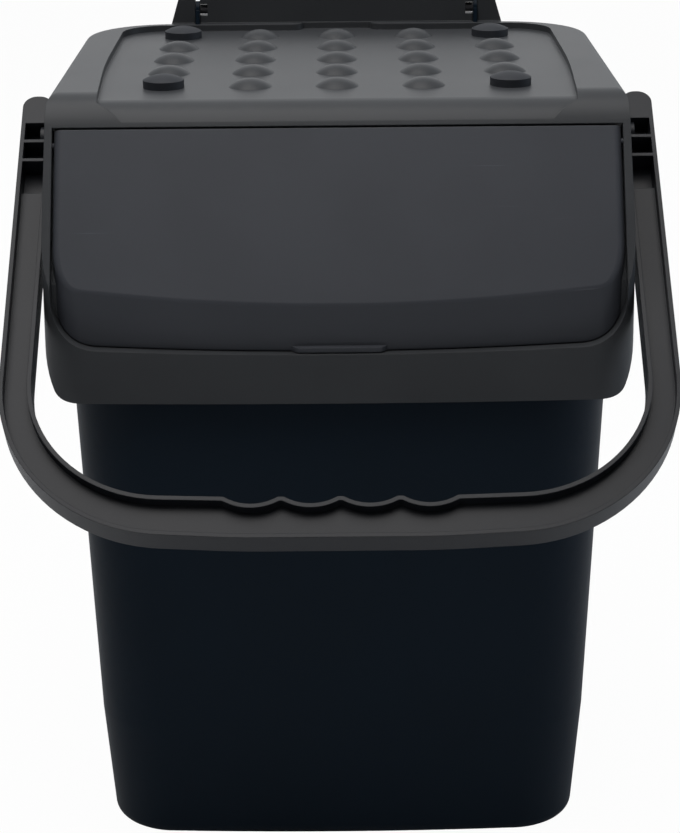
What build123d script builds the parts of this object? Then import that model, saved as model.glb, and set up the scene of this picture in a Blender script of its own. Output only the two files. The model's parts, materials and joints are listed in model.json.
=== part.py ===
from build123d import *
import os
from math import cos, radians, sin, tan

# Stackable kitchen recycling bin: a tapered tub, a hinged lid with a slanted front flap, and a bail handle.
# Millimetres. Origin: centre of the tub's base on the floor. Front is -Y, right is +X, up is +Z.

# Tub
BASE_WIDTH = 315.0
BASE_DEPTH = 309.0
BASE_CORNER = 44.0
BASE_EDGE = 8.0
FOOT_HEIGHT = 82.0
FOOT_DRAFT = 4.0
WALL_DRAFT = 2.0
TUB_WALL = 3.0
TUB_FLOOR = 3.5
TUB_BOW = 3.0
CORNER_GROWTH = 0.012
RIM_TOP = 489.0
RIM_DROP = 6.0
RIM_LEVEL = 3.0
COLLAR_DEPTH = 10.0
RIM_TURN = 12.0
NEST_RECESS = 4.0
NEST_RIB = 22.0
NEST_MARGIN = 16.0
NEST_CORNER = 26.0

# Lid
SKIRT_DROP = 172.0
SKIRT_HEIGHT = 31.0
SIDE_GAP = 13.5
FRONT_GAP = 9.5
REAR_GAP = 13.4
LID_DRAFT = 0.65
LID_WALL = 2.5
LID_CLEARANCE = 1.2
LID_BOW = 2.5
LID_FRONT_CORNER = 25.0
LID_REAR_CORNER = 58.0
LID_RISE = 7.5
TOP_EDGE = 6.0
INNER_NOSE = 17.5
NOSE_RADIUS = 30.0
PANEL_DROP = 4.5
PANEL_RIM = 34.0
PANEL_WIDENING = 6.5
PANEL_WIDE_FROM = 117.0
PANEL_SIDE_TURN = 1500.0
PANEL_NOSE = 26.0
PANEL_LEAD = 0.25
PANEL_FRONT = 73.0
PANEL_CHAMFER = 16.0
PANEL_CHAMFER_RUN = 11.0
PANEL_REAR_RIDGE = 12.0
PANEL_NOTCH_HALF = 25.0
PANEL_CORNER = 30.0
PANEL_NOTCH_TURN = 9.0
SIDE_SKIRT = 25.5
SKIRT_BAND = 30.0
SKIRT_LOW_TURN = 14.0
SKIRT_HIGH_TURN = 20.0
REAR_RELIEF = 70.0
REAR_RAMP = 10.0

# Flap
LEDGE_DEPTH = 7.0
BAND_HEIGHT = 30.7
SLANT_ANGLE = 60.8
FLAP_CHEEK = 7.4
FLAP_STRIP = 21.45
FLAP_CORNER = 28.0
FLAP_PLAN_CORNER = 18.0
FLAP_EDGE = 5.0
FLAP_BOW = 5.0
FLAP_SAG = 4.0
FLAP_WALL = 2.5
FLAP_RETURN = 7.0
BAND_WRAP = 9.0
FLAP_SWING = 11.5
FLAP_GAP = 0.8
FLAP_END_GAP = 1.5
FRAME_WIDTH = 8.0
FRAME_WALL = 2.5
BEAD_RADIUS = 3.3
BEAD_DISTANCE = 9.0
BEAD_DEPTH = 4.5
FLAP_PIN_RADIUS = 1.8
FLAP_PIN_LENGTH = 3.2
LIP_HALF_WIDTH = 31.0
LIP_REACH = 4.5
LIP_THICKNESS = 3.0
FLAP_RIBS = 5
FLAP_RIB_PITCH = 62.0
FLAP_RIB = 1.8
FLAP_RIB_START = 14.0

# Domes and stacking pads on the lid
DOME_RADIUS = 14.2
DOME_HEIGHT = 5.5
PAD_RADIUS = 13.4
PAD_SIDE = 5.0
PAD_CROWN = 3.5
PAD_STEM_RADIUS = 4.0
PAD_STEM_LENGTH = 4.5
GRID_SIDE = 72.1
FIRST_ROW = 126.0
LAST_ROW = 40.6
GRID_COUNT = 5

# Rear hinge
HINGE_RISE = 9.5
HINGE_SETBACK = 5.5
UPSTAND_DEPTH = 11.0
UPSTAND_RISE = 17.5
UPSTAND_INSET = 66.2
UPSTAND_FOOT = 5.3
SLOT_INSET = 16.2
SLOT_WIDTH = 3.8
WINDOW_WIDTH = 5.5
WINDOW_HEIGHT = 8.6
LUG_WIDTH = 3.0
LUG_HEAD = 6.0
LUG_DROP = 30.0
LUG_SET = 1.5
LUG_ROOT = 2.5
HINGE_PIN_RADIUS = 3.4
HINGE_PIN_LENGTH = 23.0
HINGE_PIN_COVER = 1.7
SLOT_REACH = 8.0
PIN_SEAT_CLEARANCE = 0.02
PIN_RUNNING_CLEARANCE = 0.07

# Handle
PIVOT_BACK = 122.5
PIVOT_DROP = 29.6
HANDLE_ANGLE = 39.2
ARM_GAP = 1.5
ARM_WIDTH = 19.6
ARM_TOP = 28.7
ARM_TOP_RADIUS = 9.0
POCKET_CORNER = 2.0
GRIP_INNER = 275.5
GRIP_WIDTH = 27.2
GRIP_FLAT_HALF = 60.0
GRIP_TURN = 600.0
GRIP_OUTER_SAG = 8.2
GRIP_INNER_SAG = 4.0
BEND_OUTER = 106.0
BEND_INNER = 82.0
SECTION_DEPTH = 17.0
FLANGE = 2.7
WEB = 3.0
DEEP_FLOOR = 2.7
WEB_START = 46.0
RIB_PLACES = (-7.5, 8.5, 24.0)
RIB = 2.4
FINGER_PITCH = 35.0
FINGER_DEPTH = 4.6
FINGER_COUNT = 4
FINGER_SHARE = 0.9
FINGER_TURN = 2.5
HUB_RADIUS = 7.5
HUB_REACH = 7.0
BOSS_RADIUS = 7.0
BOSS_GAP = 0.4
SEAT_RADIUS = 11.0
SEAT_DEPTH = 1.0
PIVOT_RADIUS = 5.0
PIVOT_HEAD_RADIUS = 9.0
PIVOT_HEAD = 2.5
PIVOT_SKIN = 1.5
PIVOT_END_GAP = 0.4

FAR = 60.0


# Half width or depth of the tub's outside at height z, from its half size at the base.
def tub_half(base_half, z):
    foot = min(z, FOOT_HEIGHT) * tan(radians(FOOT_DRAFT))
    wall = max(z - FOOT_HEIGHT, 0) * tan(radians(WALL_DRAFT))
    return base_half + foot + wall


# Places that follow from the sizes above
SKIRT_BOTTOM = RIM_TOP - SKIRT_DROP
SKIRT_TOP = SKIRT_BOTTOM + SKIRT_HEIGHT
LID_TOP = RIM_TOP + LID_RISE
SIDE_SKIRT_BOTTOM = LID_TOP - SIDE_SKIRT
BAND_TOP = SKIRT_TOP + BAND_HEIGHT
FLAP_LENGTH = (LID_TOP - BAND_TOP) / sin(radians(SLANT_ANGLE)) - FLAP_STRIP
LID_HALF = tub_half(BASE_WIDTH / 2, SKIRT_BOTTOM) + SIDE_GAP
LID_FRONT = -tub_half(BASE_DEPTH / 2, SKIRT_BOTTOM) - FRONT_GAP
LID_REAR = tub_half(BASE_DEPTH / 2, RIM_TOP) + REAR_GAP
LID_SHRINK = (LID_TOP - SKIRT_BOTTOM) * tan(radians(LID_DRAFT))
WIDE = LID_HALF + 10
PANEL_HALF_WIDTH = LID_HALF - PANEL_RIM
FLAP_HALF_WIDTH = LID_HALF - FLAP_CHEEK
PANEL_TOP = LID_TOP - PANEL_DROP
PANEL_UNDER = PANEL_TOP - LID_WALL
REAR_SKIRT_BOTTOM = PANEL_UNDER
BAND_FACE = LID_FRONT - LID_BOW + LEDGE_DEPTH
FLAP_BOTTOM = SKIRT_TOP + FLAP_END_GAP
FRONT_RIM = SKIRT_TOP - RIM_DROP
FRAME_DEPTH = FLAP_RETURN + FLAP_GAP
POCKET_LENGTH = FLAP_LENGTH + FLAP_END_GAP
HINGE_Y = LID_REAR + HINGE_SETBACK
HINGE_Z = LID_TOP + HINGE_RISE
UPSTAND_HALF_WIDTH = LID_HALF - UPSTAND_INSET
SLOT_INNER = UPSTAND_HALF_WIDTH - SLOT_INSET
PIN_OUTER_END = UPSTAND_HALF_WIDTH - HINGE_PIN_COVER
PIN_INNER_END = PIN_OUTER_END - HINGE_PIN_LENGTH
PITCH_X = 2 * (LID_HALF - GRID_SIDE) / (GRID_COUNT - 1)
PITCH_Y = (LID_REAR - LAST_ROW - LID_FRONT - FIRST_ROW) / (GRID_COUNT - 1)
PIVOT_Y = LID_FRONT + PIVOT_BACK
PIVOT_HEIGHT = RIM_TOP - PIVOT_DROP
ARM_INNER = LID_HALF + ARM_GAP
HANDLE_HALF_WIDTH = ARM_INNER + ARM_WIDTH
GRIP_OUTER = GRIP_INNER + GRIP_WIDTH


# Point on the flap's slanted face, measured up the slope from the break line and in from the face.
def slant(along, depth):
    rise = radians(SLANT_ANGLE)
    y = BAND_FACE + along * cos(rise) + depth * sin(rise)
    z = BAND_TOP + along * sin(rise) - depth * cos(rise)
    return (y, z)


# Point where the slanted face, moved in by depth, reaches height z.
def slant_at(z, depth):
    along = (z - BAND_TOP + depth * cos(radians(SLANT_ANGLE))) / sin(radians(SLANT_ANGLE))
    return slant(along, depth)


# Plan outline at height z: straight sides, round corners and a front that bows towards -Y.
def plan(z, half_width, front, rear, front_corner, rear_corner, bow):
    with BuildSketch(Plane.XY.offset(z)) as outline:
        with BuildLine():
            Line((half_width, front + front_corner), (half_width, rear - rear_corner))
            CenterArc((half_width - rear_corner, rear - rear_corner), rear_corner, 0, 90)
            Line((half_width - rear_corner, rear), (rear_corner - half_width, rear))
            CenterArc((rear_corner - half_width, rear - rear_corner), rear_corner, 90, 90)
            Line((-half_width, rear - rear_corner), (-half_width, front + front_corner))
            CenterArc((front_corner - half_width, front + front_corner), front_corner, 180, 90)
            ThreePointArc(
                (front_corner - half_width, front), (0, front - bow), (half_width - front_corner, front)
            )
            CenterArc((half_width - front_corner, front + front_corner), front_corner, 270, 90)
        make_face()
    return outline.sketch


# Section through the tub at height z, its outside moved in by inset.
def tub_section(z, inset):
    half_width = tub_half(BASE_WIDTH / 2, z) - inset
    half_depth = tub_half(BASE_DEPTH / 2, z) - inset
    corner = BASE_CORNER + z * CORNER_GROWTH - inset
    return plan(z, half_width, -half_depth, half_depth, corner, corner, TUB_BOW)


# Section through the lid at height z, its outside moved in by inset.
def lid_section(z, inset):
    shrink = (z - SKIRT_BOTTOM) * tan(radians(LID_DRAFT)) + inset
    rear = LID_REAR + LID_SHRINK - shrink
    front_corner = LID_FRONT_CORNER - inset
    return plan(
        z, LID_HALF - shrink, LID_FRONT + shrink, rear, front_corner, LID_REAR_CORNER - inset, LID_BOW
    )


# Closed outline in the side view, in (y, z), with one fillet radius for each point.
def side_view(points, radii):
    with BuildSketch(Plane.YZ) as outline:
        with BuildLine():
            FilletPolyline(*points, radius=radii, close=True)
        make_face()
    return outline.sketch


# Side view of everything more than depth below the tub's rim path: level at the front, up the slope
# under the flap and level again to the rear.
def under_rim(depth):
    front_wall = -tub_half(BASE_DEPTH / 2, FRONT_RIM)
    slope = tan(radians(SLANT_ANGLE))
    # The slope starts just behind the front wall, and a deeper line starts further back.
    foot = front_wall + RIM_LEVEL + depth * tan(radians(SLANT_ANGLE / 2))
    head = foot + (RIM_TOP - FRONT_RIM) / slope
    points = [
        (LID_FRONT - FAR, FRONT_RIM - depth), (foot, FRONT_RIM - depth), (head, RIM_TOP - depth),
        (LID_REAR + FAR, RIM_TOP - depth), (LID_REAR + FAR, -FAR), (LID_FRONT - FAR, -FAR),
    ]
    turn = RIM_TURN if depth == 0 else 0
    return side_view(points, [0, turn, turn, 0, 0, 0])


# Everything behind the flap's face moved in by depth, inside the flap's outline grown by grow. The slope is
# flat, and the band under it bows forward and turns back round upright corners.
def behind_face(depth, grow, end):
    bottom = FLAP_BOTTOM - grow
    half = FLAP_HALF_WIDTH + grow
    front = BAND_FACE + depth + FLAP_BOW
    corner = FLAP_PLAN_CORNER + grow
    low = slant_at(bottom - FAR, depth)
    high = slant(end, depth)
    rear = slant(end, depth + 2 * FAR)
    points = [low, high, rear, (rear[0], low[1])]
    with BuildPart() as block:
        extrude(side_view(points, [0, 0, 0, 0]), amount=half, both=True)
        with BuildSketch(Plane.XZ):
            with BuildLine():
                Line((-half, bottom + FLAP_SAG), (-half, LID_TOP + FAR))
                Line((-half, LID_TOP + FAR), (half, LID_TOP + FAR))
                Line((half, LID_TOP + FAR), (half, bottom + FLAP_SAG))
                ThreePointArc((half, bottom + FLAP_SAG), (0, bottom), (-half, bottom + FLAP_SAG))
            outline = make_face()
            fillet(outline.vertices().group_by(Axis.Z)[0], FLAP_CORNER + grow)
        extrude(amount=LID_REAR + FAR, both=True, mode=Mode.INTERSECT)
        extrude(
            plan(0, half, front, LID_REAR, corner, corner, FLAP_BOW), amount=LID_TOP + FAR, mode=Mode.INTERSECT
        )
    return block.part


# Everything behind the flap's back moved in by depth: along the slope, then straight down behind the band.
def behind_back(depth, end):
    rise = radians(SLANT_ANGLE)
    set_in = FLAP_RETURN + depth
    foot = BAND_FACE + FLAP_BOW + BAND_WRAP + depth
    knee = BAND_TOP + ((foot - BAND_FACE) * sin(rise) - set_in) / cos(rise)
    bottom = SKIRT_BOTTOM - FAR
    rear = slant(end, set_in + 2 * FAR)
    points = [(foot, bottom), (foot, knee), slant(end, set_in), rear, (rear[0], bottom)]
    with BuildPart() as back:
        extrude(side_view(points, [0, 0, 0, 0, 0]), amount=WIDE, both=True)
    return back.part


# Rod along X between two places, round the line at (y, z).
def rod(start, end, y, z, radius):
    with BuildPart() as bar:
        with BuildSketch(Plane.YZ.offset(start)):
            with Locations((y, z)):
                Circle(radius)
        extrude(amount=end - start)
    return bar.part


# Box between two corners.
def block(low, high):
    with BuildPart() as made:
        with Locations(((low[0] + high[0]) / 2, (low[1] + high[1]) / 2, (low[2] + high[2]) / 2)):
            Box(high[0] - low[0], high[1] - low[1], high[2] - low[2])
    return made.part


# Dome: a spherical cap of the given base radius and height that starts a little under its base.
def dome_cap(base_radius, height, root):
    sphere = (base_radius**2 + height**2) / (2 * height)
    reach = base_radius * sin(radians(45))
    middle = (reach, (sphere**2 - reach**2) ** 0.5 - sphere + height)
    with BuildPart() as dome:
        with BuildSketch(Plane.XZ):
            with BuildLine():
                ThreePointArc((base_radius, 0), middle, (0, height))
                Line((0, height), (0, -root))
                Line((0, -root), (base_radius, -root))
                Line((base_radius, -root), (base_radius, 0))
            make_face()
        revolve(axis=Axis.Z)
    return dome.part


# Places of the grid on the lid, with the four corners apart from the rest.
def grid_places():
    last = GRID_COUNT - 1
    corners = []
    others = []
    for column in range(GRID_COUNT):
        for row in range(GRID_COUNT):
            x = (column - last / 2) * PITCH_X
            y = LID_FRONT + FIRST_ROW + row * PITCH_Y
            if column in (0, last) and row in (0, last):
                corners.append((x, y, PANEL_TOP))
            else:
                others.append((x, y, PANEL_TOP))
    return corners, others


pad_places, dome_places = grid_places()
FLAP_AXIS_Y, FLAP_AXIS_Z = slant(FLAP_LENGTH - BEAD_DISTANCE, BEAD_DEPTH)
SEAT_FACE = tub_half(BASE_WIDTH / 2, PIVOT_HEIGHT - SEAT_RADIUS) - TUB_WALL - SEAT_DEPTH
BOSS_END = ARM_INNER - BOSS_GAP


# End and depth of the frame's back, measured like the flap's face.
inner_end = POCKET_LENGTH + FRAME_WALL
inner_depth = FRAME_DEPTH + FRAME_WALL

# Tub: two drafts, an open top with a sloping front, a collar round the rim, pivot bosses and hinge lugs.
with BuildPart() as tub_room:
    loft([tub_section(NEST_RECESS + TUB_FLOOR, TUB_WALL), tub_section(FOOT_HEIGHT, TUB_WALL)], ruled=True)
    loft([tub_section(FOOT_HEIGHT, TUB_WALL), tub_section(RIM_TOP + FAR, TUB_WALL)], ruled=True)

with BuildPart() as collar:
    gap = LID_WALL + LID_CLEARANCE
    loft([lid_section(z, gap) for z in (FRONT_RIM - FAR, LID_TOP)], ruled=True)
    extrude(under_rim(0), amount=LID_HALF + FAR, both=True, mode=Mode.INTERSECT)
    extrude(under_rim(COLLAR_DEPTH), amount=LID_HALF + FAR, both=True, mode=Mode.SUBTRACT)

# Room for the lower bar of the lid's frame, above the front rim.
with BuildPart() as frame_room:
    add(block((-WIDE, LID_FRONT - FAR, FRONT_RIM), (WIDE, BAND_FACE + FAR, BAND_TOP)))
    add(behind_back(FLAP_GAP + FRAME_WALL + LID_CLEARANCE, inner_end), mode=Mode.SUBTRACT)

with BuildPart() as tub:
    loft([tub_section(0, 0), tub_section(FOOT_HEIGHT, 0)], ruled=True)
    loft([tub_section(FOOT_HEIGHT, 0), tub_section(RIM_TOP, 0)], ruled=True)
    fillet(tub.faces().sort_by(Axis.Z)[0].edges(), BASE_EDGE)
    extrude(under_rim(0), amount=LID_HALF + FAR, both=True, mode=Mode.INTERSECT)
    add(collar.part)
    add(rod(-BOSS_END, BOSS_END, PIVOT_Y, PIVOT_HEIGHT, BOSS_RADIUS))
    # Hinge lugs, from the back of the collar up to a round head.
    lug_front = LID_REAR - gap - LUG_ROOT
    for side in (-1, 1):
        lug_middle = SLOT_INNER + SLOT_WIDTH / 2
        with BuildSketch(Plane.YZ.offset(side * lug_middle)):
            with Locations((HINGE_Y, HINGE_Z)):
                Circle(LUG_HEAD)
            with BuildLine():
                Polyline(
                    (lug_front, RIM_TOP), (LID_REAR - LUG_SET, HINGE_Z), (HINGE_Y + LUG_HEAD, HINGE_Z),
                    (HINGE_Y + LUG_HEAD, RIM_TOP), (lug_front, RIM_TOP - LUG_DROP), (lug_front, RIM_TOP),
                )
            make_face()
        extrude(amount=LUG_WIDTH / 2, both=True)
    add(tub_room.part, mode=Mode.SUBTRACT)
    add(frame_room.part, mode=Mode.SUBTRACT)
    # Flat seats inside for the heads of the handle pins.
    for side in (-1, 1):
        wall_inside = tub_half(BASE_WIDTH / 2, PIVOT_HEIGHT) - TUB_WALL / 2
        with BuildSketch(Plane.YZ.offset(side * SEAT_FACE)):
            with Locations((PIVOT_Y, PIVOT_HEIGHT)):
                Circle(SEAT_RADIUS)
        extrude(amount=side * (wall_inside - SEAT_FACE))
    add(
        rod(-LID_HALF - FAR, LID_HALF + FAR, PIVOT_Y, PIVOT_HEIGHT, PIVOT_RADIUS + PIN_SEAT_CLEARANCE),
        mode=Mode.SUBTRACT,
    )
    add(
        rod(-LID_HALF, LID_HALF, HINGE_Y, HINGE_Z, HINGE_PIN_RADIUS + PIN_RUNNING_CLEARANCE),
        mode=Mode.SUBTRACT,
    )
    # Four shallow recesses underneath leave a ring and a cross to stand on.
    nest_width = BASE_WIDTH / 2 - NEST_MARGIN - NEST_RIB / 2
    nest_depth = BASE_DEPTH / 2 - NEST_MARGIN - NEST_RIB / 2
    with BuildSketch(Plane.XY):
        with GridLocations(nest_width + NEST_RIB, nest_depth + NEST_RIB, 2, 2):
            RectangleRounded(nest_width, nest_depth, NEST_CORNER)
    extrude(amount=NEST_RECESS, mode=Mode.SUBTRACT)

tub.part.label = "tub"


# Lid: a cap whose skirt follows the tub's rim, with a pocket for the flap in its sloping front.
lid_path = [
    slant_at(SKIRT_BOTTOM, 0), slant_at(SKIRT_BOTTOM, SKIRT_BAND), slant_at(SIDE_SKIRT_BOTTOM, SKIRT_BAND),
    (LID_REAR - REAR_RELIEF, SIDE_SKIRT_BOTTOM), (LID_REAR - REAR_RELIEF + REAR_RAMP, REAR_SKIRT_BOTTOM),
    (LID_REAR + FAR, REAR_SKIRT_BOTTOM), (LID_REAR + FAR, LID_TOP), slant_at(LID_TOP, 0),
]
nose_path = [
    slant_at(SKIRT_BOTTOM, LID_WALL), slant_at(PANEL_UNDER, LID_WALL), (LID_REAR + FAR, PANEL_UNDER),
    (LID_REAR + FAR, SKIRT_BOTTOM),
]
above_frame = [
    slant(inner_end, -FAR), slant(inner_end, inner_depth), (slant(inner_end, inner_depth)[0], SKIRT_BOTTOM - FAR),
    (LID_REAR + FAR, SKIRT_BOTTOM - FAR), (LID_REAR + FAR, LID_TOP + FAR), slant_at(LID_TOP + FAR, -FAR),
]

# Space above the flap's frame, up to the nose and the panel.
with BuildPart() as nose_room:
    extrude(side_view(nose_path, [0, INNER_NOSE, 0, 0]), amount=WIDE, both=True)
    extrude(side_view(above_frame, [0, 0, 0, 0, 0, 0]), amount=WIDE, both=True, mode=Mode.INTERSECT)

# Space under the lid: low down it reaches the skirt, behind the flap it follows the frame.
with BuildPart() as low_room:
    add(block((-WIDE, LID_FRONT - FAR, SKIRT_BOTTOM - FAR), (WIDE, LID_REAR, SKIRT_TOP - LID_WALL)))

with BuildPart() as room_limits:
    add(low_room.part)
    add(behind_back(FLAP_GAP + FRAME_WALL, inner_end))
    add(nose_room.part)

with BuildPart() as lid_room:
    loft([lid_section(z, LID_WALL) for z in (SKIRT_BOTTOM - FAR, LID_TOP)], ruled=True)
    add(room_limits.part, mode=Mode.INTERSECT)

with BuildPart() as pocket:
    add(behind_face(-FAR / 2, FLAP_GAP, POCKET_LENGTH))
    add(behind_back(FLAP_GAP, inner_end), mode=Mode.SUBTRACT)

# Recessed panel, open to the front over a nose of its own, with the rear ridge left out in the middle.
panel_front = LID_FRONT + PANEL_FRONT
panel_rear = LID_REAR - PANEL_REAR_RIDGE
panel_wide = PANEL_HALF_WIDTH + PANEL_WIDENING
panel_points = [
    (PANEL_HALF_WIDTH - PANEL_CHAMFER, LID_FRONT - FAR),
    (PANEL_HALF_WIDTH - PANEL_CHAMFER, panel_front - PANEL_CHAMFER_RUN),
    (PANEL_HALF_WIDTH, panel_front),
    (panel_wide, panel_front + PANEL_WIDE_FROM),
    (panel_wide, panel_rear),
    (PANEL_NOTCH_HALF, panel_rear),
    (PANEL_NOTCH_HALF, LID_REAR),
]
panel_turns = [0, 0, 0, PANEL_SIDE_TURN, PANEL_CORNER, PANEL_NOTCH_TURN, 0]
mirrored = [(-x, y) for x, y in reversed(panel_points)]
with BuildPart() as recess:
    with BuildSketch(Plane.XY.offset(BAND_TOP)):
        with BuildLine():
            FilletPolyline(*panel_points, *mirrored, radius=[*panel_turns, *reversed(panel_turns)], close=True)
        make_face()
    extrude(amount=LID_TOP + FAR - BAND_TOP)
    floor_path = [
        slant_at(BAND_TOP - 1, -PANEL_LEAD), slant_at(PANEL_TOP, -PANEL_LEAD), (LID_REAR + FAR, PANEL_TOP),
        (LID_REAR + FAR, BAND_TOP - 1),
    ]
    extrude(side_view(floor_path, [0, PANEL_NOSE, 0, 0]), amount=WIDE, both=True, mode=Mode.SUBTRACT)

with BuildPart() as lid:
    loft([lid_section(z, 0) for z in (SKIRT_BOTTOM, LID_TOP)], ruled=True)
    fillet(lid.faces().sort_by(Axis.Z)[-1].edges(), TOP_EDGE)
    lid_turns = [0, SKIRT_LOW_TURN, SKIRT_HIGH_TURN, 0, 0, 0, 0, NOSE_RADIUS]
    extrude(side_view(lid_path, lid_turns), amount=WIDE, both=True, mode=Mode.INTERSECT)
    add(recess.part, mode=Mode.SUBTRACT)
    # Upstand at the rear that carries the hinge pins and widens to its foot.
    rise_top = LID_TOP + UPSTAND_RISE
    back = LID_REAR + UPSTAND_DEPTH
    foot_half = UPSTAND_HALF_WIDTH + UPSTAND_FOOT
    add(block((-foot_half, LID_REAR - LID_WALL, PANEL_UNDER), (foot_half, back, LID_TOP)))
    with BuildSketch(Plane.XZ.offset(-back)):
        with BuildLine():
            Polyline(
                (-foot_half, LID_TOP), (-UPSTAND_HALF_WIDTH, rise_top), (UPSTAND_HALF_WIDTH, rise_top),
                (foot_half, LID_TOP), (-foot_half, LID_TOP),
            )
        make_face()
    extrude(amount=UPSTAND_DEPTH)
    add(lid_room.part, mode=Mode.SUBTRACT)
    add(pocket.part, mode=Mode.SUBTRACT)
    add(behind_face(0, -FRAME_WIDTH, POCKET_LENGTH), mode=Mode.SUBTRACT)
    # The frame's side bars stop below the pivot, where the flap's top edge swings in.
    swing = FLAP_LENGTH - BEAD_DISTANCE - FLAP_SWING
    swing_points = [
        slant(swing, FLAP_RETURN), slant(POCKET_LENGTH, FLAP_RETURN), slant(POCKET_LENGTH, inner_depth + 1),
        slant(swing, inner_depth + 1),
    ]
    swing_view = side_view(swing_points, [0, 0, 0, 0])
    extrude(swing_view, amount=FLAP_HALF_WIDTH + FLAP_GAP, both=True, mode=Mode.SUBTRACT)
    for side in (-1, 1):
        slot = side * (SLOT_INNER + SLOT_WIDTH / 2)
        low = (slot - SLOT_WIDTH / 2, LID_REAR - SLOT_REACH, SIDE_SKIRT_BOTTOM)
        add(block(low, (slot + SLOT_WIDTH / 2, back + 1, rise_top + 1)), mode=Mode.SUBTRACT)
        window = side * (SLOT_INNER - WINDOW_WIDTH / 2)
        low = (window - WINDOW_WIDTH / 2, LID_REAR - 1, HINGE_Z - WINDOW_HEIGHT / 2)
        high = (window + WINDOW_WIDTH / 2, back + 1, HINGE_Z + WINDOW_HEIGHT / 2)
        add(block(low, high), mode=Mode.SUBTRACT)
        ends = sorted((side * PIN_INNER_END, side * PIN_OUTER_END))
        add(rod(*ends, HINGE_Y, HINGE_Z, HINGE_PIN_RADIUS + PIN_SEAT_CLEARANCE), mode=Mode.SUBTRACT)
    # Blind holes in the cheeks for the flap's studs.
    stud_hole = FLAP_HALF_WIDTH + FLAP_PIN_LENGTH + FLAP_GAP / 2
    hole = rod(-stud_hole, stud_hole, FLAP_AXIS_Y, FLAP_AXIS_Z, FLAP_PIN_RADIUS + PIN_RUNNING_CLEARANCE)
    add(hole, mode=Mode.SUBTRACT)
    # Domes of the grid, and a hole for the stem of each corner pad.
    with Locations(*dome_places):
        add(dome_cap(DOME_RADIUS, DOME_HEIGHT, LID_WALL / 2))
    with Locations(*pad_places):
        Hole(PAD_STEM_RADIUS + PIN_SEAT_CLEARANCE, depth=LID_WALL + 1)

lid.part.label = "lid"


rise = radians(SLANT_ANGLE)

# Flap: a flat slope over a bowed band, with returned edges, a hinge bead with studs and a finger lip.
with BuildPart() as flap:
    add(behind_face(0, 0, FLAP_LENGTH))
    # Round shoulders where the slope meets the band and the sides, but not along its top edge.
    slope_plane = Plane(origin=(0, 0, 0), z_dir=(0, -sin(rise), cos(rise)))
    slope_face = flap.faces().filter_by(slope_plane).sort_by(Axis.Y)[0]
    top_edge = slope_face.edges().sort_by(Axis.Z)[-1]
    fillet([edge for edge in slope_face.edges() if edge != top_edge], FLAP_EDGE)
    add(behind_back(0, FLAP_LENGTH + 1), mode=Mode.SUBTRACT)
    add(behind_face(FLAP_WALL, -FLAP_WALL, FLAP_LENGTH - FLAP_WALL), mode=Mode.SUBTRACT)
    bead_end = FLAP_HALF_WIDTH - FLAP_EDGE
    add(rod(-bead_end, bead_end, FLAP_AXIS_Y, FLAP_AXIS_Z, BEAD_RADIUS))
    stud_end = FLAP_HALF_WIDTH + FLAP_PIN_LENGTH
    add(rod(-stud_end, stud_end, FLAP_AXIS_Y, FLAP_AXIS_Z, FLAP_PIN_RADIUS))
    # Ribs behind the slope.
    rib_low = slant(FLAP_RIB_START, FLAP_WALL / 2)
    rib_high = slant(FLAP_LENGTH - BEAD_DISTANCE, FLAP_WALL / 2)
    rib_high_in = slant(FLAP_LENGTH - BEAD_DISTANCE, FLAP_RETURN - 1)
    rib_low_in = slant(FLAP_RIB_START, FLAP_RETURN - 1)
    rib_view = side_view([rib_low, rib_high, rib_high_in, rib_low_in], [0, 0, 0, 0])
    for column in range(FLAP_RIBS):
        place = (column - (FLAP_RIBS - 1) / 2) * FLAP_RIB_PITCH
        extrude(Pos(place, 0, 0) * rib_view, amount=FLAP_RIB / 2, both=True)
    # Finger lip along the middle of the lower edge.
    lip_top = FLAP_BOTTOM + LIP_THICKNESS
    with BuildSketch(Plane.XY.offset(FLAP_BOTTOM)):
        with BuildLine():
            lip_points = [
                (-LIP_HALF_WIDTH, BAND_FACE + FLAP_WALL), (-LIP_HALF_WIDTH + LIP_REACH, BAND_FACE - LIP_REACH),
                (LIP_HALF_WIDTH - LIP_REACH, BAND_FACE - LIP_REACH), (LIP_HALF_WIDTH, BAND_FACE + FLAP_WALL),
            ]
            FilletPolyline(*lip_points, radius=[0, LIP_REACH, LIP_REACH, 0], close=True)
        make_face()
    extrude(amount=LIP_THICKNESS)

flap.part.label = "flap"


# Handle: an I-section bail in its own plane, with deep pockets round the pivots and a finger grip.
tilt = radians(HANDLE_ANGLE)
bail_plane = Plane(origin=(0, PIVOT_Y, PIVOT_HEIGHT), x_dir=(1, 0, 0), z_dir=(0, sin(tilt), -cos(tilt)))
half_section = SECTION_DEPTH / 2
dip_half = FINGER_PITCH * FINGER_SHARE / 2
dip_radius = (dip_half**2 + FINGER_DEPTH**2) / (2 * FINGER_DEPTH)
dip_places = [
    ((i - (FINGER_COUNT - 1) / 2) * FINGER_PITCH, GRIP_INNER + FINGER_DEPTH - dip_radius)
    for i in range(FINGER_COUNT)
]


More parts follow.
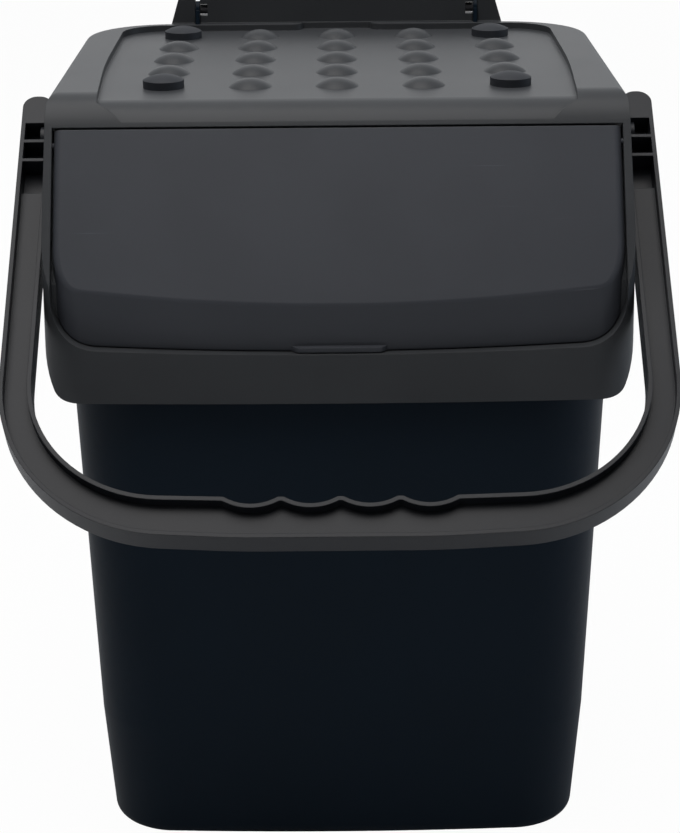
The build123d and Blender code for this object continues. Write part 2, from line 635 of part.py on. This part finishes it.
# Bail outline in its plane, its walls moved in by inset and its arms starting at the given place. The grip
# sags a little towards its ends.
def bail(inset, start):
    outer = HANDLE_HALF_WIDTH - inset
    inner = ARM_INNER + inset
    far_edge = GRIP_OUTER - inset
    near_edge = GRIP_INNER + inset
    tip = ARM_TOP_RADIUS if inset == 0 else POCKET_CORNER
    half_points = [
        (outer, start), (outer, far_edge - GRIP_OUTER_SAG), (GRIP_FLAT_HALF, far_edge),
    ]
    inner_points = [
        (GRIP_FLAT_HALF, near_edge), (inner, near_edge - GRIP_INNER_SAG), (inner, start),
    ]
    half_turns = [tip, BEND_OUTER - inset, GRIP_TURN]
    inner_turns = [GRIP_TURN, BEND_INNER + inset, tip]
    points = [
        *half_points, *[(-x, y) for x, y in reversed(half_points)],
        *[(-x, y) for x, y in reversed(inner_points)], *inner_points,
    ]
    turns = [*half_turns, *reversed(half_turns), *reversed(inner_turns), *inner_turns]
    with BuildSketch() as shape:
        with BuildLine():
            FilletPolyline(*points, radius=turns, close=True)
        make_face()
        with Locations(*dip_places):
            Circle(dip_radius + inset, mode=Mode.SUBTRACT)
        row_half = FINGER_PITCH * (FINGER_COUNT - 1) / 2
        peaks = [v for v in shape.vertices() if abs(v.X) < row_half and v.Y < near_edge + FINGER_DEPTH / 2]
        fillet(peaks, FINGER_TURN)
    return shape.sketch


with BuildPart() as handle:
    extrude(bail_plane * bail(0, -ARM_TOP), amount=half_section, both=True)
    front_face = bail_plane.offset(-half_section)
    back_face = bail_plane.offset(half_section)
    side_depth = (SECTION_DEPTH - WEB) / 2
    last_rib = RIB_PLACES[-1] + RIB / 2
    extrude(front_face * bail(FLANGE, last_rib), amount=side_depth, mode=Mode.SUBTRACT)
    extrude(back_face * bail(FLANGE, WEB_START + RIB), amount=-side_depth, mode=Mode.SUBTRACT)
    # Deep pockets between the cross ribs near the pivots; the last one runs into the web's recess.
    spans = [(low + RIB / 2, high - RIB / 2) for low, high in zip(RIB_PLACES[:-1], RIB_PLACES[1:])]
    spans.append((last_rib, WEB_START))
    pocket_width = HANDLE_HALF_WIDTH - ARM_INNER - 2 * FLANGE
    with BuildSketch(front_face):
        for low, high in spans:
            middle = (HANDLE_HALF_WIDTH + ARM_INNER) / 2
            with Locations((-middle, (low + high) / 2), (middle, (low + high) / 2)):
                Rectangle(pocket_width, high - low)
    extrude(amount=SECTION_DEPTH - DEEP_FLOOR, mode=Mode.SUBTRACT)
    hubs = [
        rod(*sorted((side * ARM_INNER, side * (ARM_INNER + HUB_REACH))), PIVOT_Y, PIVOT_HEIGHT, HUB_RADIUS)
        for side in (-1, 1)
    ]
    add(hubs)
    blind = ARM_INNER + HUB_REACH - PIVOT_SKIN
    for side in (-1, 1):
        ends = sorted((side * (ARM_INNER - 1), side * blind))
        add(rod(*ends, PIVOT_Y, PIVOT_HEIGHT, PIVOT_RADIUS + PIN_RUNNING_CLEARANCE), mode=Mode.SUBTRACT)

handle.part.label = "handle"


# Pin of the handle: a shank through the tub wall and a head against the seat inside.
def handle_pin(side):
    shank_end = ARM_INNER + HUB_REACH - PIVOT_SKIN - PIVOT_END_GAP
    shank = rod(*sorted((side * SEAT_FACE, side * shank_end)), PIVOT_Y, PIVOT_HEIGHT, PIVOT_RADIUS)
    head_ends = sorted((side * (SEAT_FACE - PIVOT_HEAD), side * SEAT_FACE))
    with BuildPart() as pin:
        add(shank)
        add(rod(*head_ends, PIVOT_Y, PIVOT_HEIGHT, PIVOT_HEAD_RADIUS))
    return pin.part


with BuildPart() as handle_pin_left:
    add(handle_pin(-1))

handle_pin_left.part.label = "handle_pin_left"

with BuildPart() as handle_pin_right:
    add(handle_pin(1))

handle_pin_right.part.label = "handle_pin_right"

with BuildPart() as hinge_pin_left:
    add(rod(-PIN_OUTER_END, -PIN_INNER_END, HINGE_Y, HINGE_Z, HINGE_PIN_RADIUS))

hinge_pin_left.part.label = "hinge_pin_left"

with BuildPart() as hinge_pin_right:
    add(rod(PIN_INNER_END, PIN_OUTER_END, HINGE_Y, HINGE_Z, HINGE_PIN_RADIUS))

hinge_pin_right.part.label = "hinge_pin_right"


# Soft pad at one place of the grid: a short round block with a domed top and a stem through the panel.
def stacking_pad(place):
    with BuildPart() as pad:
        with Locations(place):
            Cylinder(PAD_RADIUS, PAD_SIDE, align=(Align.CENTER, Align.CENTER, Align.MIN))
            Cylinder(PAD_STEM_RADIUS, PAD_STEM_LENGTH, align=(Align.CENTER, Align.CENTER, Align.MAX))
        with Locations((place[0], place[1], place[2] + PAD_SIDE)):
            add(dome_cap(PAD_RADIUS, PAD_CROWN, PAD_CROWN / 2))
    return pad.part


with BuildPart() as pad_front_left:
    add(stacking_pad(pad_places[0]))

pad_front_left.part.label = "pad_front_left"

with BuildPart() as pad_rear_left:
    add(stacking_pad(pad_places[1]))

pad_rear_left.part.label = "pad_rear_left"

with BuildPart() as pad_front_right:
    add(stacking_pad(pad_places[2]))

pad_front_right.part.label = "pad_front_right"

with BuildPart() as pad_rear_right:
    add(stacking_pad(pad_places[3]))

pad_rear_right.part.label = "pad_rear_right"


os.makedirs("parts", exist_ok=True)
export_step(tub.part, "parts/tub.step")
export_step(lid.part, "parts/lid.step")
export_step(flap.part, "parts/flap.step")
export_step(handle.part, "parts/handle.step")
export_step(handle_pin_left.part, "parts/handle_pin_left.step")
export_step(handle_pin_right.part, "parts/handle_pin_right.step")
export_step(hinge_pin_left.part, "parts/hinge_pin_left.step")
export_step(hinge_pin_right.part, "parts/hinge_pin_right.step")
export_step(pad_front_left.part, "parts/pad_front_left.step")
export_step(pad_front_right.part, "parts/pad_front_right.step")
export_step(pad_rear_left.part, "parts/pad_rear_left.step")
export_step(pad_rear_right.part, "parts/pad_rear_right.step")
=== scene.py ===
"""Looks of a stackable recycling bin: charcoal plastic tub, lid, flap and handle in a pale studio.

Everything is in metres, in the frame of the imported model: origin at the centre of the tub's base,
front towards -Y, right towards +X, up towards +Z.
"""

import json
import logging
import math
from dataclasses import dataclass
from enum import Enum

import bpy
import numpy as np
from mathutils import Euler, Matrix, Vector

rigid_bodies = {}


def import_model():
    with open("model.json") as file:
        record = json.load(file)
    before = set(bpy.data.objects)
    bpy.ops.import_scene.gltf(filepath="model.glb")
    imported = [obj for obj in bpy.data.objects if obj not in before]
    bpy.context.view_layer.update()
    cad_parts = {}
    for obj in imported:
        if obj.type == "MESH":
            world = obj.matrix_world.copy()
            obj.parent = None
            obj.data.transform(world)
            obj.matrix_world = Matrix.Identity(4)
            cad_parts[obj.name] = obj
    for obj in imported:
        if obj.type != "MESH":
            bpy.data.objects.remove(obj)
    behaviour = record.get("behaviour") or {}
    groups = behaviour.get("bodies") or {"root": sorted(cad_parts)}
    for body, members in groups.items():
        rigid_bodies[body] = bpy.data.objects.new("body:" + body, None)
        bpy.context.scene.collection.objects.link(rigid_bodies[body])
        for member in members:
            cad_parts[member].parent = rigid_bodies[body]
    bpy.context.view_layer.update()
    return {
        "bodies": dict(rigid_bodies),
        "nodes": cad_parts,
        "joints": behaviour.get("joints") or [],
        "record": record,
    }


LOG = logging.getLogger("recycling_bin")
PHOTO_WIDTH = 680

Colour = tuple[float, float, float]
Place = tuple[float, float, float]
WHITE = (1.0, 1.0, 1.0, 1.0)


class Ending(Enum):
    """What a tree of nodes belongs to, by the type of its output node."""

    MATERIAL = "ShaderNodeOutputMaterial"
    WORLD = "ShaderNodeOutputWorld"


@dataclass(frozen=True)
class Pattern:
    """A noise, and the span of its values over which what it drives sets in."""

    cells: float
    octaves: float
    fineness: float = 0.5
    low: float = 0.0
    high: float = 1.0


class Socket:
    """An output of a shader node that takes part in Python arithmetic."""

    def __init__(self, tree: "ShaderTree", link: bpy.types.NodeSocket) -> None:
        """Keeps the tree that the socket is in, and the socket itself."""
        self.tree = tree
        self.link = link

    def _maths(self, operation: str, first: object, second: object) -> "Socket":
        """Adds one Math node.

        Args:
            operation: The Math node's operation.
            first: The first value or socket.
            second: The second value or socket.

        Returns:
            The node's value as a new socket.
        """
        node = self.tree.node("ShaderNodeMath", {"operation": operation}, {0: first, 1: second})
        return Socket(self.tree, node.outputs[0])

    def __add__(self, other: object) -> "Socket":
        """Sum with a number or a socket."""
        return self._maths("ADD", self, other)

    __radd__ = __add__

    def __sub__(self, other: object) -> "Socket":
        """Difference from this socket."""
        return self._maths("SUBTRACT", self, other)

    def __rsub__(self, other: object) -> "Socket":
        """Difference from a number, as in 1 - mask."""
        return self._maths("SUBTRACT", other, self)

    def __mul__(self, other: object) -> "Socket":
        """Product with a number or a socket."""
        return self._maths("MULTIPLY", self, other)

    __rmul__ = __mul__

    def band(self, low: float, high: float, start: float = 0.0, end: float = 1.0) -> "Socket":
        """Goes smoothly from start to end while this socket goes from low to high.

        Args:
            low: The value that gives start.
            high: The value that gives end.
            start: The result at low.
            end: The result at high.

        Returns:
            The eased value.
        """
        node = self.tree.node(
            "ShaderNodeMapRange",
            {"interpolation_type": "SMOOTHSTEP"},
            {"Value": self, "From Min": low, "From Max": high, "To Min": start, "To Max": end},
        )
        return Socket(self.tree, node.outputs[0])


class ShaderTree:
    """The nodes of one material or world."""

    def __init__(self, owner: bpy.types.ID, ending: Ending) -> None:
        """Empties the owner's tree.

        Args:
            owner: The material or world.
            ending: Which of the two it is.
        """
        owner.use_nodes = True
        self.owner = owner
        self.ending = ending
        self.tree = owner.node_tree
        self.tree.nodes.clear()

    @classmethod
    def of_material(cls, name: str) -> "ShaderTree":
        """Starts a new material of that name."""
        return cls(bpy.data.materials.new(name), Ending.MATERIAL)

    @classmethod
    def of_world(cls, name: str) -> "ShaderTree":
        """Starts a new world of that name."""
        return cls(bpy.data.worlds.new(name), Ending.WORLD)

    def node(self, kind: str, settings: dict[str, object], values: dict[object, object]) -> bpy.types.Node:
        """Adds a node, sets its settings first and then its sockets.

        Args:
            kind: The node's type.
            settings: The node's properties by name.
            values: A value, a Socket or a node socket for each input, by name or index.

        Returns:
            The new node.
        """
        made = self.tree.nodes.new(kind)
        for key, value in settings.items():
            setattr(made, key, value)
        for key, value in values.items():
            target = made.inputs[key]
            if isinstance(value, Socket):
                self.tree.links.new(value.link, target)
            elif isinstance(value, bpy.types.NodeSocket):
                self.tree.links.new(value, target)
            else:
                target.default_value = value
        return made

    def output(self, kind: str, name: str) -> Socket:
        """One output of a node that has no inputs to set."""
        return Socket(self, self.node(kind, {}, {}).outputs[name])

    def noise(self, vector: Socket, pattern: Pattern) -> Socket:
        """Noise value at a place.

        Args:
            vector: The place.
            pattern: The cells per metre, the octaves and how strong the fine ones are.

        Returns:
            A value from 0 to 1.
        """
        made = self.node(
            "ShaderNodeTexNoise",
            {},
            {
                "Vector": vector,
                "Scale": pattern.cells,
                "Detail": pattern.octaves,
                "Roughness": pattern.fineness,
            },
        )
        return Socket(self, made.outputs["Fac"])

    def mask(self, vector: Socket, pattern: Pattern) -> Socket:
        """The pattern's noise, eased from 0 at its low value to 1 at its high one."""
        return self.noise(vector, pattern).band(pattern.low, pattern.high)

    def stretched(self, vector: Socket, scale: Place, turn: float) -> Socket:
        """The place, turned about Z and scaled, for a pattern that runs one way."""
        made = self.node(
            "ShaderNodeMapping", {}, {"Vector": vector, "Rotation": (0.0, 0.0, turn), "Scale": scale}
        )
        return Socket(self, made.outputs[0])

    def blend(self, share: object, first: object, second: object) -> Socket:
        """Mixes two colours by a share from 0 to 1."""
        made = self.node("ShaderNodeMix", {"data_type": "RGBA"}, {0: share, 6: first, 7: second})
        return Socket(self, made.outputs[2])

    def mixed(self, share: object, first: bpy.types.Node, second: bpy.types.Node) -> bpy.types.Node:
        """Mixes two shaders by a share from 0 to 1."""
        return self.node("ShaderNodeMixShader", {}, {0: share, 1: first.outputs[0], 2: second.outputs[0]})

    def surface(self, shader: bpy.types.Node) -> bpy.types.ID:
        """Ends the tree with this shader and returns its material or world."""
        self.node(self.ending.value, {}, {"Surface": shader.outputs[0]})
        return self.owner


def tinted(colour: Colour, factor: float = 1.0, lift: float = 0.0) -> tuple[float, float, float, float]:
    """A colour times a factor plus a lift, at most 1, with full alpha."""
    return (*(min(1.0, channel * factor + lift) for channel in colour), 1.0)


@dataclass(frozen=True)
class MouldedPlastic:
    """Satin injection-moulded plastic with a fine tool grain, faint tone changes and light wear."""

    name: str
    colour: Colour
    roughness: float = 0.42
    specular: float = 0.5
    refraction: float = 1.49
    edge_radius: float = 0.0007
    edge_samples: int = 4
    grain: float = 0.25
    grain_height: float = 0.00012
    grain_specks: Pattern = Pattern(cells=2600.0, octaves=2.0, fineness=0.6)
    tone: float = 0.04
    tone_clouds: Pattern = Pattern(cells=14.0, octaves=3.0, low=0.35, high=0.65)
    gloss_change: float = 0.08
    scratches: float = 0.0
    scratch_scale: Place = (9.0, 420.0, 420.0)
    scratch_turn: float = 0.5
    scratch_lines: Pattern = Pattern(cells=1.0, octaves=2.0, fineness=0.7, low=0.66, high=0.74)
    scratch_patches: Pattern = Pattern(cells=9.0, octaves=2.0, low=0.52, high=0.68)
    scratch_gloss: float = 0.1
    worn_factor: float = 1.8
    worn_lift: float = 0.02

    def material(self) -> bpy.types.Material:
        """Builds the material.

        Returns:
            The material, with the scratches where the finish has them.
        """
        tree = ShaderTree.of_material(self.name)
        place = tree.output("ShaderNodeTexCoord", "Object")
        cloud = tree.noise(place, self.tone_clouds)
        speck = tree.noise(place, self.grain_specks)
        base = tree.blend(
            cloud.band(self.tone_clouds.low, self.tone_clouds.high),
            tinted(self.colour, 1 - self.tone),
            tinted(self.colour, 1 + self.tone),
        )
        rough = self.roughness - self.gloss_change / 2 + cloud * self.gloss_change
        if self.scratches > 0:
            streaks = tree.stretched(place, self.scratch_scale, self.scratch_turn)
            patch = tree.mask(place, self.scratch_patches)
            mark = tree.mask(streaks, self.scratch_lines) * patch * self.scratches
            base = tree.blend(mark, base, tinted(self.colour, self.worn_factor, self.worn_lift))
            rough = rough + mark * self.scratch_gloss
        edges = tree.node(
            "ShaderNodeBevel", {"samples": self.edge_samples}, {"Radius": self.edge_radius}
        )
        bump = tree.node(
            "ShaderNodeBump",
            {},
            {
                "Strength": self.grain,
                "Distance": self.grain_height,
                "Height": speck,
                "Normal": edges.outputs[0],
            },
        )
        shader = tree.node(
            "ShaderNodeBsdfPrincipled",
            {},
            {
                "Base Color": base,
                "Roughness": rough,
                "IOR": self.refraction,
                "Specular IOR Level": self.specular,
                "Normal": bump.outputs[0],
            },
        )
        return tree.surface(shader)


@dataclass(frozen=True)
class SoftRubber:
    """Matt dark rubber of the stacking pads, with a little dust."""

    name: str
    colour: Colour
    roughness: float = 0.62
    specular: float = 0.4
    dust: Pattern = Pattern(cells=160.0, octaves=4.0, low=0.5, high=0.8)
    dust_share: float = 0.5
    dust_gloss: float = 0.1
    dusty_factor: float = 1.5
    dusty_lift: float = 0.01

    def material(self) -> bpy.types.Material:
        """Builds the material.

        Returns:
            The material, lighter and duller where the dust lies.
        """
        tree = ShaderTree.of_material(self.name)
        dust = tree.mask(tree.output("ShaderNodeTexCoord", "Object"), self.dust)
        dusty = tinted(self.colour, self.dusty_factor, self.dusty_lift)
        shader = tree.node(
            "ShaderNodeBsdfPrincipled",
            {},
            {
                "Base Color": tree.blend(dust * self.dust_share, tinted(self.colour), dusty),
                "Roughness": self.roughness + dust * self.dust_gloss,
                "Specular IOR Level": self.specular,
            },
        )
        return tree.surface(shader)


@dataclass(frozen=True)
class Lamp:
    """One square area lamp that points at a target."""

    name: str
    place: Place
    target: Place
    size: float
    power: float
    colour: Colour

    def build(self) -> None:
        """Hangs the lamp."""
        data = bpy.data.lights.new(self.name, "AREA")
        data.size = self.size
        data.energy = self.power
        data.color = self.colour
        made = bpy.data.objects.new(self.name, data)
        made.location = self.place
        heading = Vector(self.target) - Vector(self.place)
        made.rotation_euler = heading.to_track_quat("-Z", "Y").to_euler()
        bpy.context.scene.collection.objects.link(made)


@dataclass(frozen=True)
class Studio:
    """Pale floor, white surround, soft lamps and the camera of the photograph."""

    lamps: tuple[Lamp, ...]
    floor_colour: Colour = (0.76, 0.77, 0.78)
    floor_roughness: float = 0.9
    floor_half: float = 6.0
    floor_glow: float = 0.97
    surround_colour: Colour = (0.93, 0.96, 1.0)
    front_level: float = 0.07
    rear_level: float = 0.62
    front_heading: float = -0.4
    rear_heading: float = 0.8
    camera_place: Place = (0.0, -1.4625, 0.7513)
    camera_pitch: float = 19.05
    camera_roll: float = -0.51
    focal_pixels: float = 2179.0
    sensor_width: float = 36.0

    def floor(self) -> None:
        """Builds the floor: a wide plane that the camera sees as almost white."""
        corners = np.array([(-1.0, -1.0, 0.0), (1.0, -1.0, 0.0), (1.0, 1.0, 0.0), (-1.0, 1.0, 0.0)])
        mesh = bpy.data.meshes.new("studio_floor")
        mesh.from_pydata((corners * self.floor_half).tolist(), [], [[0, 1, 2, 3]])
        mesh.update()
        made = bpy.data.objects.new("studio_floor", mesh)
        bpy.context.scene.collection.objects.link(made)
        tree = ShaderTree.of_material("floor paper")
        paper = tree.node(
            "ShaderNodeBsdfPrincipled",
            {},
            {"Base Color": tinted(self.floor_colour), "Roughness": self.floor_roughness},
        )
        glow = tree.node("ShaderNodeEmission", {}, {"Color": WHITE, "Strength": 1.0})
        seen = tree.output("ShaderNodeLightPath", "Is Camera Ray") * self.floor_glow
        mesh.materials.append(tree.surface(tree.mixed(seen, paper, glow)))

    def surround(self) -> None:
        """Sets the world: white to the camera, bright behind the bin and dim in front of it to the rest."""
        tree = ShaderTree.of_world("studio surround")
        seen = tree.output("ShaderNodeLightPath", "Is Camera Ray")
        white = tree.node("ShaderNodeBackground", {}, {"Color": WHITE, "Strength": 1.0})
        heading = tree.output("ShaderNodeTexCoord", "Generated")
        to_rear = Socket(tree, tree.node("ShaderNodeSeparateXYZ", {}, {0: heading}).outputs[1])
        level = to_rear.band(self.front_heading, self.rear_heading, self.front_level, self.rear_level)
        graded = tree.node(
            "ShaderNodeBackground", {}, {"Color": tinted(self.surround_colour), "Strength": level}
        )
        bpy.context.scene.world = tree.surface(tree.mixed(seen, graded, white))

    def camera(self) -> None:
        """Places the camera at the photograph's viewpoint."""
        data = bpy.data.cameras.new("photo camera")
        data.sensor_fit = "HORIZONTAL"
        data.sensor_width = self.sensor_width
        data.lens = self.focal_pixels * self.sensor_width / PHOTO_WIDTH
        made = bpy.data.objects.new("photo camera", data)
        made.location = self.camera_place
        tilt = Euler((math.radians(90 - self.camera_pitch), 0.0, 0.0)).to_matrix()
        roll = Euler((0.0, 0.0, math.radians(self.camera_roll))).to_matrix()
        made.rotation_euler = (tilt @ roll).to_euler()
        bpy.context.scene.collection.objects.link(made)
        bpy.context.scene.camera = made

    def build(self) -> None:
        """Builds the whole studio."""
        self.floor()
        self.surround()
        for lamp in self.lamps:
            lamp.build()
        self.camera()
        bpy.context.scene.view_settings.view_transform = "Standard"
        LOG.info("studio: floor, surround, %d lamps and the camera", len(self.lamps))


@dataclass(frozen=True)
class Body:
    """The CAD nodes that share one finish."""

    nodes: tuple[str, ...]
    finish: MouldedPlastic | SoftRubber

    def dress(self, frame: dict) -> None:
        """Gives each node its finish.
        """
        material = self.finish.material()
        for name in self.nodes:
            piece = frame["nodes"][name]
            piece.data.materials.clear()
            piece.data.materials.append(material)
            LOG.info("%s dressed in %s", name, material.name)


LAMPS = (
    Lamp(
        "overhead softbox",
        place=(-0.25, -0.35, 2.3),
        target=(0.0, 0.0, 0.4),
        size=1.9,
        power=36.0,
        colour=(1.0, 0.98, 0.97),
    ),
    Lamp(
        "rear softbox",
        place=(0.0, 2.2, 1.1),
        target=(0.0, 0.0, 0.5),
        size=1.6,
        power=3.0,
        colour=(1.0, 0.99, 0.97),
    ),
    Lamp(
        "front fill",
        place=(-1.1, -2.4, 1.7),
        target=(0.0, 0.0, 0.3),
        size=1.4,
        power=0.8,
        colour=(0.9, 0.95, 1.0),
    ),
    Lamp(
        "right strip",
        place=(2.1, 0.1, 0.8),
        target=(0.0, 0.0, 0.3),
        size=0.9,
        power=8.0,
        colour=(0.72, 0.84, 1.0),
    ),
)

TUB_FINISH = MouldedPlastic("tub charcoal", (0.003, 0.009, 0.017), roughness=0.45, specular=0.1)
LID_FINISH = MouldedPlastic("lid charcoal", (0.047, 0.05, 0.054), specular=0.22)
FLAP_FINISH = MouldedPlastic(
    "flap charcoal", (0.052, 0.056, 0.066), roughness=0.48, specular=0.3, scratches=0.5
)
HANDLE_FINISH = MouldedPlastic("handle charcoal", (0.015, 0.0165, 0.02), roughness=0.38, specular=0.25)
PIN_FINISH = MouldedPlastic("pin grey", (0.06, 0.06, 0.065), roughness=0.5)
PAD_FINISH = SoftRubber("pad rubber", (0.02, 0.023, 0.029))

BODIES = (
    Body(("tub",), TUB_FINISH),
    Body(("lid",), LID_FINISH),
    Body(("flap",), FLAP_FINISH),
    Body(("handle",), HANDLE_FINISH),
    Body(("handle_pin_left", "handle_pin_right", "hinge_pin_left", "hinge_pin_right"), PIN_FINISH),
    Body(("pad_front_left", "pad_front_right", "pad_rear_left", "pad_rear_right"), PAD_FINISH),
)


def main() -> None:
    """Builds the studio and dresses the bin."""
    logging.basicConfig(level=logging.INFO)
    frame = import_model()
    Studio(LAMPS).build()
    for body in BODIES:
        body.dress(frame)


if __name__ == "__main__":
    main()
